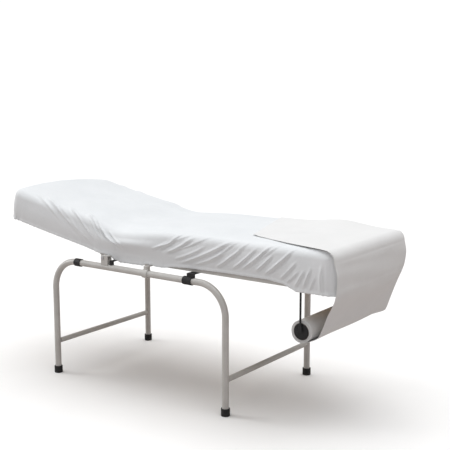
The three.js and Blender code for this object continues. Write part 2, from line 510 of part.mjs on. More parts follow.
// ---------------------------------------------------------------- paper roll, its arms and the loose end
for (const [side, sign] of SIDES) {
  const armY = sign * ARM_Y;
  const mountTop = SEAT_FRAME_BOTTOM - FIT_GAP;
  const [low, high] = span(sign, FRAME_INNER_Y, FRAME_Y);
  const cheeks = toSolid(block([ROLL_X - ARM_MOUNT_LENGTH / 2, low, mountTop - ARM_MOUNT_HEIGHT],
    [ROLL_X + ARM_MOUNT_LENGTH / 2, high, mountTop]))
    .subtract(toSolid(block([ROLL_X - ARM_RADIUS * 2, -FAR, mountTop - ARM_MOUNT_HEIGHT - 1],
      [ROLL_X + ARM_RADIUS * 2, FAR, mountTop - BRACKET_WALL])))
    .subtract(toSolid(roundBar('x', PIVOT_RADIUS / 2 + PIN_CLEARANCE, -FAR, FAR, [armY, ARM_TOP])));
  addMesh(couch, `arm_mount_${side}`, toGeometry(cheeks), BLACK_STEEL);

  const pinEnd = ARM_MOUNT_LENGTH / 2 + 2;
  addMesh(couch, `arm_pin_${side}`, roundBar('x', PIVOT_RADIUS / 2, ROLL_X - pinEnd, ROLL_X + pinEnd,
    [armY, ARM_TOP], 16), ZINC_STEEL);

  // Arm: an eye round the pin, a thin rod, and a short cone that widens into the hub.
  const eye = toSolid(roundBar('x', ARM_EYE_RADIUS, ROLL_X - ARM_RADIUS * 1.6, ROLL_X + ARM_RADIUS * 1.6,
    [armY, ARM_TOP]));
  const rod = toSolid(roundBar('z', ARM_RADIUS, ROLL_Z, ARM_TOP - PIVOT_RADIUS / 2, [ROLL_X, armY], 16));
  const flare = toSolid(new THREE.CylinderGeometry(ARM_RADIUS, ARM_RADIUS * 2.4, CORE_RADIUS, 16)
    .rotateX(Math.PI / 2).translate(ROLL_X, armY, ROLL_Z + CORE_RADIUS / 2))
    .intersect(toSolid(block([-FAR, armY - ARM_RADIUS, -FAR], [FAR, armY + ARM_RADIUS, FAR])));
  const eyeBore = toSolid(roundBar('x', PIVOT_RADIUS / 2 + PIN_CLEARANCE, -FAR, FAR, [armY, ARM_TOP], 16));
  const arm = eye.add(rod).add(flare).subtract(eyeBore);
  addMesh(couch, `roll_arm_${side}`, toGeometry(arm), BLACK_STEEL);

  // Hub: a cone that centres the core, with its narrow end inwards.
  const hubProfile = [new THREE.Vector2(0, 0), new THREE.Vector2(HUB_TIP_RADIUS, 0),
    new THREE.Vector2(CORE_BORE_RADIUS - FIT_GAP, HUB_DEPTH),
    new THREE.Vector2(CORE_BORE_RADIUS - FIT_GAP, HUB_DEPTH + HUB_LIP),
    new THREE.Vector2(0, HUB_DEPTH + HUB_LIP)];
  const hub = new THREE.LatheGeometry(hubProfile, 32);
  if (sign < 0) hub.rotateX(Math.PI);
  hub.translate(ROLL_X, sign * (ROLL_WIDTH / 2 - HUB_DEPTH), ROLL_Z);
  addMesh(couch, `roll_hub_${side}`, hub, BLACK_PLASTIC);
}

function ring(outer, inner, width) {
  const outline = new THREE.Shape();
  outline.absarc(0, 0, outer, 0, Math.PI * 2);
  const hole = new THREE.Path();
  hole.absarc(0, 0, inner, 0, Math.PI * 2, true);
  outline.holes.push(hole);
  return acrossY(outline, -width / 2, width / 2).translate(ROLL_X, 0, ROLL_Z);
}
addMesh(couch, 'paper_core', ring(CORE_RADIUS, CORE_BORE_RADIUS, ROLL_WIDTH), CARDBOARD);
addMesh(couch, 'paper_roll', ring(ROLL_RADIUS, CORE_RADIUS + FIT_GAP, ROLL_WIDTH), TISSUE);

// A sheet that follows a side path at a constant thickness, laid on its left-hand side.
function ribbon(points, thickness, width) {
  const offset = points.map((point, i) => {
    const before = points[Math.max(i - 1, 0)];
    const after = points[Math.min(i + 1, points.length - 1)];
    const along = after.clone().sub(before).normalize();
    return new THREE.Vector2(point.x + along.y * thickness, point.y - along.x * thickness);
  });
  return acrossY(new THREE.Shape([...points, ...offset.reverse()]), -width / 2, width / 2);
}

// The paper leaves the roll's outer side, meets the end face, turns over the edge and lies on top.
const paperGap = FIT_GAP * 2;
const endX = SEAT_LENGTH + paperGap;
const leave = new THREE.Vector2(endX, TOP_HEIGHT - COVER_SKIRT - PAPER_BELOW_HEM);
const rollCentre = new THREE.Vector2(ROLL_X, ROLL_Z);
const wound = ROLL_RADIUS + paperGap;
const toLeave = leave.clone().sub(rollCentre);
const tangentAngle = toLeave.angle() - Math.acos(wound / toLeave.length());
const paperPath = new THREE.Path();
paperPath.moveTo(ROLL_X + wound * Math.cos(tangentAngle), ROLL_Z + wound * Math.sin(tangentAngle));
paperPath.lineTo(leave.x, leave.y);
paperPath.lineTo(endX, TOP_HEIGHT - EDGE_RADIUS);
paperPath.absarc(SEAT_LENGTH - EDGE_RADIUS, TOP_HEIGHT - EDGE_RADIUS, EDGE_RADIUS + paperGap, 0, Math.PI / 2);
paperPath.lineTo(SEAT_LENGTH - PAPER_ON_TOP, TOP_HEIGHT + paperGap);
const paperPoints = paperPath.getPoints(8).filter((p, i, all) => i === 0 || p.distanceTo(all[i - 1]) > 1e-3);
addMesh(couch, 'paper_sheet', ribbon(paperPoints, PAPER_THICKNESS, ROLL_WIDTH), TISSUE);

// ---------------------------------------------------------------- origin
const box = new THREE.Box3().setFromObject(couch);
couch.position.x = -(box.min.x + box.max.x) / 2;

export default couch;
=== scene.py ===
"""Examination couch in a fitted cover, with a paper roll under its foot end."""
import json
import math

import bpy
import numpy as np
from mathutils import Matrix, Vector


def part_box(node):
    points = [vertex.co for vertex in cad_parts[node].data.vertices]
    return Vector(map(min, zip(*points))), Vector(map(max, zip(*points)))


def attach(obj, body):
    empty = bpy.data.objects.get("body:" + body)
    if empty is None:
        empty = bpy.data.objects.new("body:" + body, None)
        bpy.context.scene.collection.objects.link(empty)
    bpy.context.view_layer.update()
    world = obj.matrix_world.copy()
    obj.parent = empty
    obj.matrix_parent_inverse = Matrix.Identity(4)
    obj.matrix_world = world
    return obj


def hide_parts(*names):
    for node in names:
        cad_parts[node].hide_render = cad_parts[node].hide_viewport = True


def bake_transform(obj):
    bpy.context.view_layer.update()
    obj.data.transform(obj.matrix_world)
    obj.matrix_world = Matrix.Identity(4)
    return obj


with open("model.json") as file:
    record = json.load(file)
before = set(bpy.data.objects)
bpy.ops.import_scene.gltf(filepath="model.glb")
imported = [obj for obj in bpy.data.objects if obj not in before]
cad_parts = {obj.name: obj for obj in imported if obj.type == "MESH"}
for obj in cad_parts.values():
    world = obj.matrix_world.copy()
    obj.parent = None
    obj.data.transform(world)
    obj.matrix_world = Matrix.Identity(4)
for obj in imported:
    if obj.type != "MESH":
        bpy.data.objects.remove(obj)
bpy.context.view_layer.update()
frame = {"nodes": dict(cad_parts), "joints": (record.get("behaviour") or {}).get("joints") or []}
RAD = math.pi / 180

# ------------------------------------------------------------------ sizes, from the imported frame
JOINTS = {joint["name"]: joint for joint in frame["joints"]}
HINGE = Vector(JOINTS["backrest_tilt"]["pos_m"])
SEAT_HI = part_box("seat_cover")[1]
ROLL_LO, ROLL_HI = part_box("paper_roll")
ROLL_CENTRE = (ROLL_LO + ROLL_HI) / 2
ROLL_RADIUS = (ROLL_HI.z - ROLL_LO.z) / 2
TOP = SEAT_HI.z
HALF_WIDTH = SEAT_HI.y
FOOT_END = SEAT_HI.x
BACK_LENGTH = 0.655
HEAD_END = HINGE.x - BACK_LENGTH
REST_TILT = 10 * RAD
BEND_HALF = 0.15  # the bend runs this far each way from the hinge
BEND_START = HINGE.x + BEND_HALF
SHIFT = HINGE.x + 0.2957  # the folds and the hem below are placed as if the hinge stood at x = -0.2957
WELD_DISTANCE = 1e-5

# ------------------------------------------------------------------ camera
CAMERA_AT = Vector((HINGE.x + 2.9623, -3.4958, 1.4935))
CAMERA_YAW = 35.71 * RAD
CAMERA_PITCH = -9.52 * RAD
camera_data = bpy.data.cameras.new("camera")
camera_data.lens = 74.73
camera_data.sensor_width = 36
camera = bpy.data.objects.new("camera", camera_data)
camera.location = CAMERA_AT
camera.rotation_euler = (math.pi / 2 + CAMERA_PITCH, 0, CAMERA_YAW)
bpy.context.scene.collection.objects.link(camera)
bpy.context.scene.camera = camera


def smooth(t):
    t = np.clip(t, 0, 1)
    return t * t * (3 - 2 * t)


def head_shape(points):
    """The head end bows outwards, more at its near corner, and rises a little towards the head."""
    points = np.array(points, float)
    across = np.clip(points[:, 1] / HALF_WIDTH, -1, 1)
    share = smooth((HEAD_END + 0.36 - points[:, 0]) / 0.36)
    out = 0.0015 - 0.0225 * across + 0.024 * (1 - across**2)
    out = np.where(out < 0, out * smooth((points[:, 2] - 0.672) / 0.06), out)  # the frame below stays inside
    points[:, 0] -= share * out
    points[:, 2] += share**2 * (0.003 + 0.021 * (1 - across**2))
    return points


def dipped(points):
    """The couch dips over the hinge, and its long edges give way a little more there."""
    points = np.array(points, float)
    x, y, z = points.T
    upper = smooth((z - 0.68) / 0.10)
    dip = 0.011 * np.exp(-(((x - HINGE.x - 0.09) / 0.15) ** 2))
    slump = 0.013 * np.exp(-(((x - HINGE.x - 0.12) / 0.22) ** 2)) * smooth((np.abs(y) - 0.20) / 0.11)
    points[:, 2] -= upper * (dip + slump * (y < 0))
    return points


def bent(points):
    """Points of a straight couch, turned about the hinge by the backrest's rest angle."""
    points = dipped(head_shape(points))
    turn = REST_TILT * smooth((BEND_START - points[:, 0]) / (2 * BEND_HALF))
    dx, dz = points[:, 0] - HINGE.x, points[:, 2] - HINGE.z
    points[:, 0] = HINGE.x + dx * np.cos(turn) + dz * np.sin(turn)
    points[:, 2] = HINGE.z - dx * np.sin(turn) + dz * np.cos(turn)
    return points


# ------------------------------------------------------------------ materials
class Shader:
    """A small helper around one node tree with a Principled shader."""

    def __init__(self, name, roughness, metallic=0.0, sheen=0.0, coat=0.0):
        self.material = bpy.data.materials.new(name)
        self.material.use_nodes = True
        self.tree = self.material.node_tree
        self.shader = self.tree.nodes["Principled BSDF"]
        self.shader.inputs["Roughness"].default_value = roughness
        self.shader.inputs["Metallic"].default_value = metallic
        self.shader.inputs["Sheen Weight"].default_value = sheen
        self.shader.inputs["Coat Weight"].default_value = coat
        self.place = self.tree.nodes.new("ShaderNodeTexCoord").outputs["Object"]
        self.height = None

    def link(self, a, b):
        self.tree.links.new(a, b)

    def scaled(self, scale):
        mapping = self.tree.nodes.new("ShaderNodeMapping")
        mapping.inputs["Scale"].default_value = scale
        self.link(self.place, mapping.inputs["Vector"])
        return mapping.outputs["Vector"]

    def noise(self, scale, detail=3.0, stretch=(1, 1, 1)):
        node = self.tree.nodes.new("ShaderNodeTexNoise")
        node.inputs["Scale"].default_value = scale
        node.inputs["Detail"].default_value = detail
        self.link(self.scaled(stretch), node.inputs["Vector"])
        return node.outputs["Fac"]

    def voronoi(self, scale):
        node = self.tree.nodes.new("ShaderNodeTexVoronoi")
        node.inputs["Scale"].default_value = scale
        self.link(self.place, node.inputs["Vector"])
        return node.outputs["Distance"]

    def wave(self, scale, distortion, direction, stretch=(1, 1, 1)):
        node = self.tree.nodes.new("ShaderNodeTexWave")
        node.bands_direction = direction
        node.inputs["Scale"].default_value = scale
        node.inputs["Distortion"].default_value = distortion
        self.link(self.scaled(stretch), node.inputs["Vector"])
        return node.outputs["Fac"]

    def ramp(self, source, stops):
        node = self.tree.nodes.new("ShaderNodeValToRGB")
        while len(node.color_ramp.elements) < len(stops):
            node.color_ramp.elements.new(0.5)
        for element, (position, colour) in zip(node.color_ramp.elements, stops):
            element.position = position
            element.color = (*colour, 1)
        self.link(source, node.inputs["Fac"])
        return node.outputs["Color"]

    def mix(self, a, b, share):
        node = self.tree.nodes.new("ShaderNodeMix")
        node.data_type = "RGBA"
        node.inputs["Factor"].default_value = share
        self.link(a, node.inputs["A"])
        self.link(b, node.inputs["B"])
        return node.outputs["Result"]

    def colour(self, source):
        self.link(source, self.shader.inputs["Base Color"])

    def rough(self, source, low, high):
        node = self.tree.nodes.new("ShaderNodeMapRange")
        node.inputs["To Min"].default_value = low
        node.inputs["To Max"].default_value = high
        self.link(source, node.inputs["Value"])
        self.link(node.outputs["Result"], self.shader.inputs["Roughness"])

    def bump(self, source, distance, strength):
        """Lays a bump over the ones added before it."""
        node = self.tree.nodes.new("ShaderNodeBump")
        node.inputs["Strength"].default_value = strength
        node.inputs["Distance"].default_value = distance
        self.link(source, node.inputs["Height"])
        if self.height is not None:
            self.link(self.height, node.inputs["Normal"])
        self.height = node.outputs["Normal"]
        self.link(self.height, self.shader.inputs["Normal"])


def cover_material():
    s = Shader("cover_fabric", 0.72, sheen=0.25)
    blotch = s.noise(7, 4)
    fibre = s.noise(420, 5)
    tint = s.mix(blotch, fibre, 0.25)
    s.colour(s.ramp(tint, [(0.3, (0.755, 0.775, 0.79)), (0.7, (0.80, 0.815, 0.83))]))
    s.rough(blotch, 0.62, 0.8)
    s.bump(s.noise(38, 5), 0.0035, 0.35)
    s.bump(s.voronoi(620), 0.0004, 0.25)
    s.bump(fibre, 0.0004, 0.4)
    return s.material


def paper_material():
    s = Shader("tissue_paper", 0.85, sheen=0.1)
    cloud = s.noise(9, 5)
    fibre = s.noise(650, 4, (1, 0.35, 1))
    tint = s.mix(cloud, fibre, 0.3)
    s.colour(s.ramp(tint, [(0.3, (0.755, 0.75, 0.745)), (0.7, (0.79, 0.785, 0.78))]))
    s.bump(s.wave(170, 2.5, "Z"), 0.0003, 0.35)
    s.bump(fibre, 0.0003, 0.5)
    s.bump(s.noise(14, 3), 0.004, 0.25)
    return s.material


def cardboard_material():
    s = Shader("cardboard", 0.9)
    fibre = s.noise(260, 5, (1, 0.2, 1))
    s.colour(s.ramp(fibre, [(0.3, (0.10, 0.085, 0.08)), (0.75, (0.19, 0.165, 0.15))]))
    s.bump(fibre, 0.0003, 0.5)
    return s.material


def upholstery_material():
    s = Shader("upholstery", 0.5)
    grain = s.voronoi(340)
    s.colour(s.ramp(s.noise(40, 4), [(0.3, (0.12, 0.13, 0.14)), (0.7, (0.17, 0.18, 0.19))]))
    s.rough(grain, 0.4, 0.6)
    s.bump(grain, 0.0006, 0.6)
    return s.material


def plywood_material():
    s = Shader("plywood", 0.6)
    grain = s.wave(9, 9, "Y", (0.25, 3, 3))
    s.colour(s.ramp(grain, [(0.2, (0.52, 0.37, 0.22)), (0.8, (0.63, 0.47, 0.30))]))
    s.bump(s.noise(180, 4, (0.1, 1, 1)), 0.0005, 0.4)
    return s.material


def painted_steel_material():
    s = Shader("painted_steel", 0.36, coat=0.15)
    cloud = s.noise(16, 4)
    peel = s.noise(900, 2)
    s.colour(s.ramp(cloud, [(0.3, (0.52, 0.505, 0.48)), (0.7, (0.60, 0.585, 0.56))]))
    s.rough(peel, 0.3, 0.44)
    s.bump(peel, 0.0002, 0.3)
    return s.material


def zinc_material():
    s = Shader("zinc_steel", 0.35, metallic=0.9)
    spangle = s.voronoi(120)
    s.colour(s.ramp(spangle, [(0.2, (0.50, 0.51, 0.53)), (0.8, (0.66, 0.67, 0.68))]))
    s.rough(spangle, 0.28, 0.45)
    s.bump(s.noise(600, 3), 0.0002, 0.3)
    return s.material


def dark_material(name, roughness, grain, low, high, depth):
    """Black paint, plastic or rubber, between two dark greys."""
    s = Shader(name, roughness)
    s.shader.inputs["Specular IOR Level"].default_value = 0.3
    cloud = s.noise(60, 4)
    s.colour(s.ramp(cloud, [(0.3, low), (0.75, high)]))
    s.rough(cloud, roughness - 0.08, roughness + 0.1)
    s.bump(s.noise(grain, 4), depth, 0.4)
    return s.material


MATERIALS = {
    "cover_fabric": cover_material(),
    "tissue_paper": paper_material(),
    "cardboard": cardboard_material(),
    "upholstery": upholstery_material(),
    "plywood": plywood_material(),
    "painted_steel": painted_steel_material(),
    "zinc_steel": zinc_material(),
    "black_steel": dark_material(
        "black_steel", 0.4, 700, (0.018, 0.018, 0.02), (0.03, 0.03, 0.032), 0.0002),
    "black_plastic": dark_material(
        "black_plastic", 0.48, 500, (0.015, 0.015, 0.016), (0.03, 0.03, 0.032), 0.0003),
    "black_rubber": dark_material(
        "black_rubber", 0.75, 300, (0.02, 0.02, 0.02), (0.04, 0.04, 0.04), 0.0004),
}


# ------------------------------------------------------------------ mesh helpers
def add_piece(name, points, faces, slot, body=None):
    mesh = bpy.data.meshes.new(name)
    mesh.from_pydata(np.asarray(points, float).tolist(), [], faces)
    mesh.update()
    mesh.polygons.foreach_set("use_smooth", [True] * len(mesh.polygons))
    piece = bpy.data.objects.new(name, mesh)
    bpy.context.scene.collection.objects.link(piece)
    mesh.materials.append(MATERIALS[slot])
    if body:
        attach(piece, body)
    return piece


def grid_faces(rows, columns, closed_rows=False, closed_columns=False):
    """Quads of a grid whose point (i, j) has the index i * columns + j."""
    i, j = np.meshgrid(
        np.arange(rows if closed_rows else rows - 1),
        np.arange(columns if closed_columns else columns - 1),
        indexing="ij",
    )
    ni, nj = (i + 1) % rows, (j + 1) % columns
    quads = np.stack([i * columns + j, ni * columns + j, ni * columns + nj, i * columns + nj], -1)
    return quads.reshape(-1, 4).tolist()


def freeze(piece):
    """The mesh after the modifiers, as the piece's own."""
    bpy.context.view_layer.update()
    graph = bpy.context.evaluated_depsgraph_get()
    mesh = bpy.data.meshes.new_from_object(piece.evaluated_get(graph), depsgraph=graph)
    old = piece.data
    piece.modifiers.clear()
    piece.data = mesh
    bpy.data.meshes.remove(old)
    mesh.name = piece.name
    mesh.polygons.foreach_set("use_smooth", [True] * len(mesh.polygons))
    return piece


def coordinates(piece):
    return np.array([vertex.co for vertex in piece.data.vertices])


def move_to(piece, points):
    piece.data.vertices.foreach_set("co", points.ravel())
    piece.data.update()


# ------------------------------------------------------------------ fitted cover
EDGE_RADIUS = 0.042
CORNER_RADIUS = 0.050
COVER_THICKNESS = 0.0008
STATION_STEP = 0.0045
HEM_RADIUS = 0.0035
EDGE_DIP = 0.003  # the top lies this much lower along its edges
CREASE = 1.35  # depth of the near side's and the ends' folds against the depths listed here
NEAR_WIDTH = 0.78  # width of the near side's folds against the widths listed here


def outline_stations():
    """Points (x, y, nx, ny) around the couch, seen from above, from the middle of the near side."""
    x0, x1, y1, r = HEAD_END, FOOT_END, HALF_WIDTH, CORNER_RADIUS
    middle = (x0 + x1) / 2
    rows = []

    def line(a, b, normal):
        a, b = np.array(a), np.array(b)
        count = max(2, round(np.linalg.norm(b - a) / STATION_STEP))
        for k in range(count):
            rows.append((*(a + (b - a) * k / count), *normal))

    def corner(centre, start):
        count = round(r * math.pi / 2 / STATION_STEP)
        for k in range(count):
            angle = start + math.pi / 2 * k / count
            n = (math.cos(angle), math.sin(angle))
            rows.append((centre[0] + r * n[0], centre[1] + r * n[1], *n))

    line((middle, -y1), (x1 - r, -y1), (0, -1))
    corner((x1 - r, -y1 + r), -math.pi / 2)
    line((x1, -y1 + r), (x1, y1 - r), (1, 0))
    corner((x1 - r, y1 - r), 0)
    line((x1 - r, y1), (middle, y1), (0, 1))
    line((middle, y1), (x0 + r, y1), (0, 1))
    corner((x0 + r, y1 - r), math.pi / 2)
    line((x0, y1 - r), (x0, -y1 + r), (-1, 0))
    corner((x0 + r, -y1 + r), math.pi)
    line((x0 + r, -y1), (middle, -y1), (0, -1))
    return np.array(rows)


# Height of the hem's lowest line along either long side, before the backrest is tilted.
HEM_LINE = [
    (-0.95, 0.626), (-0.345, 0.626), (-0.318, 0.631), (-0.283, 0.631), (-0.268, 0.626),
    (-0.2585, 0.618), (-0.248, 0.6128), (-0.236, 0.6125), (-0.222, 0.605), (-0.15, 0.603),
    (-0.075, 0.605), (-0.062, 0.6125), (-0.018, 0.6125), (-0.004, 0.608), (0.05, 0.610),
    (0.09, 0.618), (0.17, 0.624), (0.40, 0.629), (0.60, 0.629), (0.68, 0.620), (0.715, 0.606),
    (0.74, 0.597), (0.81, 0.597), (0.95, 0.598),
]  # fmt: skip


def hem_height(x):
    places, heights = zip(*HEM_LINE)
    return np.interp(x - SHIFT, places, heights)


def tuck_depth(x):
    """How far the hem turns in under the frame: only past the fittings that hang from it."""
    foot = smooth((x - SHIFT - 0.785) / 0.03)
    head = smooth((SHIFT - 0.44 - x) / 0.05)
    return 0.026 * foot + 0.022 * head


def add_crease(field, x, q, start, end, height, width, bow=0.0):
    """Adds one soft ridge with a shallow valley beside it, in the side's own (x, q) plane."""
    start, end = np.array(start), np.array(end)
    along = end - start
    length = np.linalg.norm(along)
    along = along / length
    t = ((x - start[0]) * along[0] + (q - start[1]) * along[1]) / length
    across = -(x - start[0]) * along[1] + (q - start[1]) * along[0]
    across = across - bow * 4 * np.clip(t, 0, 1) * (1 - np.clip(t, 0, 1))
    taper = smooth(t / 0.22) * smooth((1 - t) / 0.35)
    valley = np.exp(-(((across + 1.9 * width) / (1.5 * width)) ** 2))
    shape = np.exp(-((across / width) ** 2)) - 0.45 * valley
    field += height * taper * shape


def near_creases():
    """The folds that the near side shows: from the top edge down to the hinge, and up from the hem."""
    yield (-0.80, 0.825), (-0.44, 0.655), 0.0055, 0.0085, 0.010
    yield (-0.70, 0.800), (-0.47, 0.690), 0.0030, 0.0080, 0.006
    yield (-0.50, 0.815), (-0.30, 0.705), 0.0060, 0.0080, 0.008
    yield (-0.47, 0.790), (-0.33, 0.690), 0.0035, 0.0070, 0.006
    yield (-0.385, 0.770), (-0.185, 0.668), 0.0060, 0.0080, 0.006
    yield (-0.30, 0.765), (-0.17, 0.672), 0.0048, 0.0070, 0.004
    yield (-0.58, 0.735), (-0.40, 0.650), 0.0028, 0.0080, 0.006
    yield (-0.02, 0.690), (0.10, 0.752), 0.0030, 0.0075, -0.006
    yield (0.02, 0.688), (0.15, 0.790), 0.0045, 0.0070, -0.008
    yield (0.06, 0.680), (0.23, 0.780), 0.0050, 0.0075, -0.008
    yield (0.10, 0.655), (0.30, 0.745), 0.0040, 0.0075, -0.008
    yield (0.13, 0.640), (0.45, 0.790), 0.0055, 0.0080, -0.010
    yield (0.22, 0.645), (0.42, 0.735), 0.0035, 0.0070, -0.006
    yield (0.33, 0.645), (0.50, 0.765), 0.0042, 0.0070, -0.006
    yield (0.42, 0.650), (0.56, 0.770), 0.0045, 0.0065, -0.006
    yield (0.47, 0.655), (0.63, 0.790), 0.0052, 0.0065, -0.006
    yield (0.54, 0.655), (0.64, 0.750), 0.0045, 0.0060, -0.004
    yield (0.58, 0.645), (0.73, 0.770), 0.0052, 0.0065, -0.005
    yield (0.66, 0.635), (0.75, 0.730), 0.0040, 0.0060, -0.003
    yield (0.73, 0.612), (0.785, 0.700), 0.0038, 0.0060, -0.002
    yield (0.77, 0.612), (0.815, 0.715), 0.0042, 0.0055, -0.002
    yield (0.855, 0.600), (0.862, 0.735), 0.0050, 0.0060, 0.002
    yield (0.00, 0.700), (0.22, 0.800), 0.0030, 0.0050, -0.010
    yield (0.08, 0.690), (0.33, 0.800), 0.0030, 0.0050, -0.012
    yield (0.28, 0.660), (0.47, 0.800), 0.0030, 0.0050, -0.010
    yield (0.38, 0.680), (0.52, 0.800), 0.0028, 0.0048, -0.008
    yield (0.51, 0.680), (0.67, 0.800), 0.0030, 0.0048, -0.008
    yield (0.62, 0.680), (0.74, 0.790), 0.0028, 0.0048, -0.006
    yield (0.69, 0.625), (0.76, 0.690), 0.0030, 0.0045, -0.002
    yield (0.80, 0.605), (0.835, 0.680), 0.0028, 0.0045, -0.001
    yield (-0.86, 0.815), (-0.60, 0.700), 0.0030, 0.0060, 0.012
    yield (-0.62, 0.810), (-0.36, 0.665), 0.0042, 0.0060, 0.012
    yield (-0.44, 0.800), (-0.24, 0.690), 0.0045, 0.0060, 0.010


def far_creases(random):
    """Folds at uneven places on the far side, which the photograph doesn't show."""
    for base in np.arange(-0.78, -0.20, 0.062):
        x = base + random.uniform(-0.02, 0.02)
        reach = random.uniform(0.12, 0.26)
        start = (x - reach * 0.6, random.uniform(0.76, 0.82))
        end = (x + reach * 0.4, random.uniform(0.65, 0.69))
        yield start, end, random.uniform(0.003, 0.006), random.uniform(0.006, 0.009), 0.006
    for base in np.arange(-0.02, 0.80, 0.055):
        x = base + random.uniform(-0.02, 0.02)
        reach = random.uniform(0.09, 0.24)
        start = (x, random.uniform(0.635, 0.67))
        end = (x + reach, random.uniform(0.73, 0.80))
        yield start, end, random.uniform(0.003, 0.0055), random.uniform(0.0055, 0.008), -0.006


def end_creases(random):
    """Soft folds that rise from the hem of an end face, as (y, q)."""
    for base in np.arange(-0.27, 0.28, 0.06):
        y = base + random.uniform(-0.02, 0.02)
        lean = random.uniform(-0.03, 0.03)
        end = (y + lean, random.uniform(0.66, 0.76))
        yield (y, 0.60), end, random.uniform(0.002, 0.004), random.uniform(0.006, 0.010), 0.0


def wavy(values, scale, seeds):
    """Three sine waves of rising pitch, added up, each with its own start."""
    total = np.zeros_like(values, dtype=float)
    for k, seed in enumerate(seeds):
        total += np.sin(values * scale * 1.73**k + seed) / 1.5**k
    return total / 2


def cover_sections(x, y, nx, ny, hem):
    """The cover without folds: its points, their height q up the skirt, and the way they face."""
    count = len(x)
    tuck = tuck_depth(x)
    side = np.abs(ny) > 0.999

    # One section: from the middle of the top, out to the edge, round it, down the side and under.
    inward = np.concatenate([[1.0], np.linspace(0.93, 0.12, 22), [0.08, 0.05, 0.028, 0.012, 0.0]])
    arc = np.linspace(0, math.pi / 2, 13)[1:]
    drop = np.linspace(0, 1, 40)[1:]
    turn = np.linspace(0, math.pi / 2, 5)[1:]
    under = np.array([0.35, 0.7, 1.0])

    half_segment = (FOOT_END - HEAD_END) / 2 - HALF_WIDTH
    centre_x = (FOOT_END + HEAD_END) / 2
    medial_x = centre_x + (x - centre_x) * half_segment / ((FOOT_END - HEAD_END) / 2)
    edge_x, edge_y = x - EDGE_RADIUS * nx, y - EDGE_RADIUS * ny

    px, py, pz, q, normal_out, normal_up = [], [], [], [], [], []

    def add(ax, ay, az, aq, out, up):
        for store, value in zip((px, py, pz, q, normal_out, normal_up), (ax, ay, az, aq, out, up)):
            store.append(np.broadcast_to(value, (count,)).astype(float))

    top_q = TOP - EDGE_RADIUS + EDGE_RADIUS * math.pi / 2
    for t in inward:
        ax, ay = edge_x * (1 - t) + medial_x * t, edge_y * (1 - t)
        crown = EDGE_DIP * smooth(np.minimum(1, t * 4))
        add(ax, ay, TOP - EDGE_DIP + crown, top_q + np.hypot(ax - edge_x, ay - edge_y), 0, 1)
    for a in arc:
        out = EDGE_RADIUS * (math.sin(a) - 1)
        height = EDGE_RADIUS * (math.cos(a) - 1) - EDGE_DIP * math.cos(a) ** 2
        add(x + out * nx, y + out * ny, TOP + height, top_q - EDGE_RADIUS * a, math.sin(a), math.cos(a))
    skirt_top = TOP - EDGE_RADIUS
    low = hem + HEM_RADIUS
    # How far the hem is drawn in towards the frame; not where the hinge's fittings stand.
    fittings = smooth((0.085 - np.abs(x - (HINGE.x - 0.01))) / 0.03) * side
    draw_in = -0.0045 * (1 - fittings) * side - 0.003 * (np.abs(nx) > 0.999)
    for t in drop:
        z = skirt_top + (low - skirt_top) * t
        swelling = t * 1.15
        fullness = 0.0035 * math.sin(math.pi * swelling) if swelling < 1 else 0
        out = fullness + draw_in * t**3
        add(x + out * nx, y + out * ny, z, z, 1, 0)
    for a in turn:
        out = draw_in - HEM_RADIUS * (1 - math.cos(a)) * smooth(tuck / 0.01)
        add(x + out * nx, y + out * ny, low - HEM_RADIUS * math.sin(a), low, math.cos(a), -math.sin(a))
    for t in under:
        out = draw_in - HEM_RADIUS * smooth(tuck / 0.01) - tuck * t
        lift = 0.002 * t * (tuck > 0.01)
        add(x + out * nx, y + out * ny, hem + lift, low - t * 0.01, 0, -1)

    return map(np.array, (px, py, pz, q, normal_out, normal_up))


def fold_push(random, X, Y, nx, ny, q):
    """How far the folds of the four sides push the cover outwards."""
    push, near_field, far_field = (np.zeros_like(q) for _ in range(3))
    for start, end, height, width, bow in near_creases():
        add_crease(near_field, X - SHIFT, q, start, end, height * CREASE, width * NEAR_WIDTH, bow)
    for start, end, height, width, bow in far_creases(random):
        add_crease(far_field, X - SHIFT, q, start, end, height, width, bow)
    on_near = smooth((-ny - 0.2) / 0.6)
    on_far = smooth((ny - 0.2) / 0.6)
    push += near_field * on_near + far_field * on_far
    for sign in (-1, 1):
        end_field = np.zeros_like(push)
        for start, end, height, width, bow in end_creases(random):
            add_crease(end_field, Y, q, start, end, height * CREASE, width, bow)
        push += end_field * smooth((sign * nx - 0.3) / 0.6)
    return push


